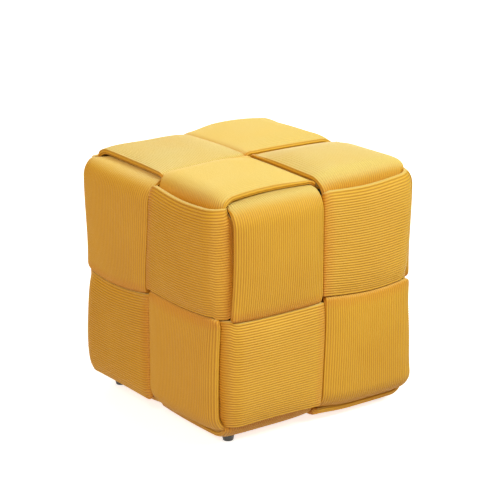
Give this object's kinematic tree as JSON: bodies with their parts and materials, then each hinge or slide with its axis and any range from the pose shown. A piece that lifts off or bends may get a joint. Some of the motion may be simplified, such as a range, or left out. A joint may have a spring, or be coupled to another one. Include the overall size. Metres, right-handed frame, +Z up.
{
  "type": "woven corduroy cube ottoman",
  "caption": "Cube ottoman covered in padded corduroy bands woven over and under each other round a dark padded box, on short round glides.",
  "frame": {"origin": "on the floor under the middle of the seat", "axes": "+Z up out of the seat; X along the front; +Y from the front to the back"},
  "size_m": [0.3606, 0.3606, 0.3605],
  "materials": {
    "corduroy": "mustard yellow ribbed corduroy",
    "lining": "black lining cloth",
    "glide": "glossy black moulded plastic"
  },
  "bodies": {
    "root": {"band_round_front": "corduroy", "band_round_back": "corduroy", "band_round_left": "corduroy", "band_round_right": "corduroy", "band_girth_upper": "corduroy", "band_girth_lower": "corduroy", "core": "lining", "glide_front_left": "glide", "glide_front_right": "glide", "glide_back_left": "glide", "glide_back_right": "glide"}
  },
  "joints": []
}
